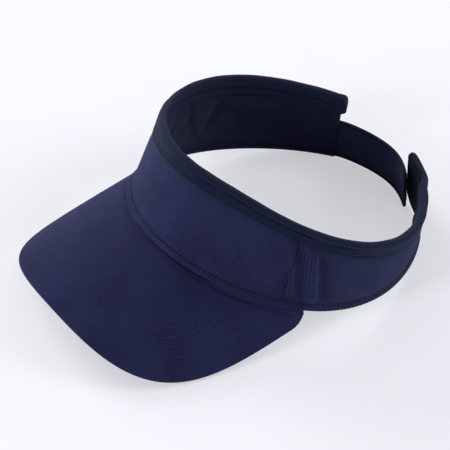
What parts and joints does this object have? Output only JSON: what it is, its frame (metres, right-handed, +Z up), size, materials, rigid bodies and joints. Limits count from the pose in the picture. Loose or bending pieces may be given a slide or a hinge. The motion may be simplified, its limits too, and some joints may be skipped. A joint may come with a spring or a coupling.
{
  "type": "sun visor",
  "caption": "Sun visor of navy cotton twill: open head band with an arched sewn brim, bound edges and an adjustable hook-and-loop closure at the back.",
  "frame": {"origin": "middle of the head opening, on the plane that the visor rests on", "axes": "+Z up, the brim towards -Y, the wearer's left towards +X"},
  "size_m": [0.1876, 0.2796, 0.1062],
  "materials": {
    "twill": "matt woven cotton twill",
    "brim_twill": "matt woven cotton twill",
    "interlining": "stiff buckram",
    "foam": "open foam",
    "sweatband": "matt woven cotton",
    "binding": "matt woven tape",
    "thread": "spun polyester thread",
    "loop_pile": "brushed loops",
    "hook_pile": "moulded nylon hooks",
    "board": "moulded polyethylene sheet"
  },
  "bodies": {
    "band": {"front_panel": "twill", "left_side_panel": "twill", "right_side_panel": "twill", "front_stiffener": "interlining", "left_interlining": "interlining", "right_interlining": "interlining", "sweatband_foam": "foam", "sweatband": "sweatband", "top_binding": "binding", "bottom_binding": "binding", "right_end_binding": "binding", "left_end_binding": "binding", "hem_topstitch": "thread", "binding_topstitch": "thread", "brim_board": "board", "brim_top_cover": "brim_twill", "brim_under_cover": "brim_twill", "brim_topstitch": "thread"},
    "strap": {"strap_inner": "twill", "strap_outer": "twill", "loop_patch": "loop_pile", "strap_topstitch": "thread"},
    "tab": {"tab_outer": "twill", "tab_inner": "twill", "hook_patch": "hook_pile", "tab_topstitch": "thread"}
  },
  "joints": [
    {"name": "tab_peel", "type": "hinge", "parent": "band", "child": "tab", "pos_m": [0.05241, 0.07913, 0.00068], "axis": [0.0457, 0.0441, -0.998], "range_deg": [0, 85]},
    {"name": "strap_swing", "type": "hinge", "parent": "band", "child": "strap", "pos_m": [-0.04265, 0.0828, 0.00028], "axis": [-0.0493, 0.0568, -0.9972], "range_deg": [0, 40]}
  ]
}
